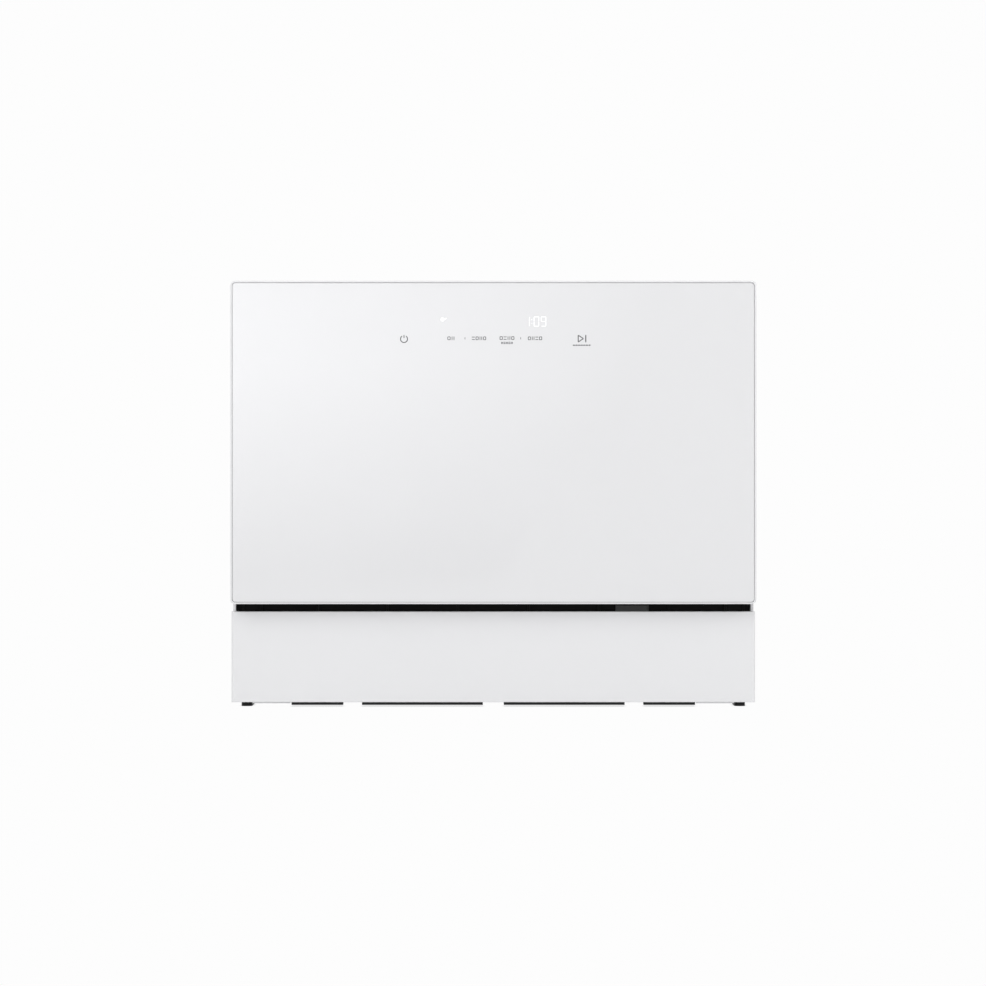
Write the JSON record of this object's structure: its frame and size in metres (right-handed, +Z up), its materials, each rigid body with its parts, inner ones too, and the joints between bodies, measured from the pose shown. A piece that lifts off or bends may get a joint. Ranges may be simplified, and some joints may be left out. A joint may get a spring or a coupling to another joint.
{
  "type": "countertop dishwasher",
  "caption": "White countertop dishwasher with a drop-down glass door over a recessed plinth, a wheeled wire rack, spray arms, a filter and rear water connections.",
  "frame": {"origin": "On the worktop, under the middle of the bounding box.", "axes": "+X to the right seen from the front, +Y to the back, +Z up; the door faces -Y."},
  "size_m": [0.55, 0.51, 0.446],
  "materials": {
    "white_shell": "satin white enamel",
    "white_plastic": "fine-grained white moulding",
    "door_glass": "back-painted white glass",
    "galvanised": "galvanised sheet",
    "black_base": "fine-grained black moulding",
    "gap_grey": "smooth dark grey moulding",
    "stainless": "brushed stainless sheet",
    "zinc": "bright zinc",
    "felt": "bitumen-backed felt",
    "seal_rubber": "soft grey elastomer",
    "grey_moulding": "grey moulding",
    "dark_moulding": "dark moulding",
    "heater_steel": "drawn tube",
    "hose_rubber": "matt hose",
    "board_green": "coated circuit board",
    "rack_coating": "grey nylon over steel wire",
    "rack_moulding": "grey moulding"
  },
  "bodies": {
    "cabinet": {"base_tray": "black_base", "feet": "black_base", "plinth_panel": "white_plastic", "gap_cover": "gap_grey", "left_side_panel": "white_shell", "right_side_panel": "white_shell", "top_cover": "white_plastic", "rear_panel": "galvanised", "case_screws": "zinc", "tub": "stainless", "tub_blanket": "felt", "door_seal": "seal_rubber", "rack_rails": "stainless", "hinge_brackets": "galvanised", "hinge_pins": "zinc", "door_springs": "zinc", "latch_keeper": "zinc", "sump": "grey_moulding", "flat_filter": "stainless", "wash_pump": "dark_moulding", "flow_heater": "heater_steel", "drain_pump": "dark_moulding", "drain_hose": "hose_rubber", "inlet_valve": "white_plastic", "fill_hose": "hose_rubber", "air_break": "white_plastic", "power_board": "board_green", "lead_gland": "black_base", "rear_spigot": "white_plastic", "arm_post": "grey_moulding", "spray_riser": "grey_moulding"},
    "door": {"door_frame": "white_plastic", "door_glass": "door_glass", "door_liner": "stainless", "control_board": "board_green", "display_module": "board_green", "hinge_arms": "galvanised", "latch_case": "grey_moulding", "dispenser_body": "grey_moulding"},
    "latch": {"latch_hook": "dark_moulding"},
    "detergent_lid": {"dispenser_lid": "grey_moulding"},
    "lid_button": {"dispenser_button": "grey_moulding"},
    "rinse_cap": {"rinse_cap": "grey_moulding"},
    "lower_arm": {"lower_spray_arm": "grey_moulding"},
    "upper_arm": {"upper_spray_arm": "grey_moulding"},
    "filter": {"filter_cup": "grey_moulding"},
    "float": {"float_cap": "grey_moulding"},
    "rack": {"rack_long_wires": "rack_coating", "rack_cross_wires": "rack_coating", "rack_rims": "rack_coating", "rack_handle": "rack_moulding", "rack_clips": "rack_moulding"},
    "front_left_wheel": {"front_left_wheel": "rack_moulding"},
    "front_right_wheel": {"front_right_wheel": "rack_moulding"},
    "rear_left_wheel": {"rear_left_wheel": "rack_moulding"},
    "rear_right_wheel": {"rear_right_wheel": "rack_moulding"},
    "front_tines": {"front_tines": "rack_coating"},
    "rear_tines": {"rear_tines": "rack_coating"},
    "shelf": {"cup_shelf": "rack_moulding"},
    "basket": {"cutlery_basket": "rack_moulding"}
  },
  "joints": [
    {"name": "door_hinge", "type": "hinge", "parent": "cabinet", "child": "door", "pos_m": [0, -0.237, 0.126], "axis": [1, 0, 0], "range_deg": [0, 90], "stiffness_Nm_per_rad": 3.2, "deforming": ["door_springs"]},
    {"name": "rack_slide", "type": "slide", "parent": "cabinet", "child": "rack", "axis": [0, -1, 0], "range_m": [0, 0.3]},
    {"name": "front_left_wheel_spin", "type": "hinge", "parent": "rack", "child": "front_left_wheel", "pos_m": [-0.2315, -0.1065, 0.1653], "axis": [1, 0, 0], "continuous": true},
    {"name": "rear_left_wheel_spin", "type": "hinge", "parent": "rack", "child": "rear_left_wheel", "pos_m": [-0.2315, 0.0735, 0.1653], "axis": [1, 0, 0], "continuous": true},
    {"name": "front_right_wheel_spin", "type": "hinge", "parent": "rack", "child": "front_right_wheel", "pos_m": [0.2315, -0.1065, 0.1653], "axis": [1, 0, 0], "continuous": true},
    {"name": "rear_right_wheel_spin", "type": "hinge", "parent": "rack", "child": "rear_right_wheel", "pos_m": [0.2315, 0.0735, 0.1653], "axis": [1, 0, 0], "continuous": true},
    {"name": "latch_turn", "type": "hinge", "parent": "door", "child": "latch", "pos_m": [0, -0.2208, 0.4287], "axis": [1, 0, 0], "range_deg": [0, 8], "stiffness_Nm_per_rad": 0.02},
    {"name": "detergent_lid_slide", "type": "slide", "parent": "door", "child": "detergent_lid", "axis": [1, 0, 0], "range_m": [0, 0.056]},
    {"name": "lid_button_press", "type": "slide", "parent": "door", "child": "lid_button", "axis": [0, -1, 0], "range_m": [0, 0.003], "stiffness_N_per_m": 400},
    {"name": "rinse_cap_turn", "type": "hinge", "parent": "door", "child": "rinse_cap", "pos_m": [0.052, -0.221, 0.289], "axis": [0, 1, 0], "range_deg": [0, 90]},
    {"name": "lower_arm_spin", "type": "hinge", "parent": "cabinet", "child": "lower_arm", "pos_m": [0, -0.006, 0.155], "axis": [0, 0, 1], "continuous": true},
    {"name": "upper_arm_spin", "type": "hinge", "parent": "cabinet", "child": "upper_arm", "pos_m": [0, -0.006, 0.394], "axis": [0, 0, 1], "continuous": true},
    {"name": "filter_turn", "type": "hinge", "parent": "cabinet", "child": "filter", "pos_m": [0.078, -0.102, 0.14], "axis": [0, 0, 1], "range_deg": [0, 90]},
    {"name": "float_lift", "type": "slide", "parent": "cabinet", "child": "float", "axis": [0, 0, 1], "range_m": [0, 0.006]},
    {"name": "front_tines_fold", "type": "hinge", "parent": "rack", "child": "front_tines", "pos_m": [0, -0.0705, 0.1873], "axis": [-1, 0, 0], "range_deg": [0, 80]},
    {"name": "rear_tines_fold", "type": "hinge", "parent": "rack", "child": "rear_tines", "pos_m": [0, 0.0375, 0.1873], "axis": [-1, 0, 0], "range_deg": [0, 80]},
    {"name": "shelf_fold", "type": "hinge", "parent": "rack", "child": "shelf", "pos_m": [-0.2083, -0.0165, 0.2693], "axis": [0, -1, 0], "range_deg": [0, 90]},
    {"name": "basket_lift", "type": "slide", "parent": "rack", "child": "basket", "axis": [0, 0, 1], "range_m": [0, 0.12]}
  ],
  "couplings": [
    {"joint": "rack_slide", "follows": "door_hinge", "m_per_rad": 0.088},
    {"joint": "front_left_wheel_spin", "follows": "door_hinge", "ratio": 6.7692},
    {"joint": "rear_left_wheel_spin", "follows": "door_hinge", "ratio": 6.7692},
    {"joint": "front_right_wheel_spin", "follows": "door_hinge", "ratio": 6.7692},
    {"joint": "rear_right_wheel_spin", "follows": "door_hinge", "ratio": 6.7692}
  ]
}
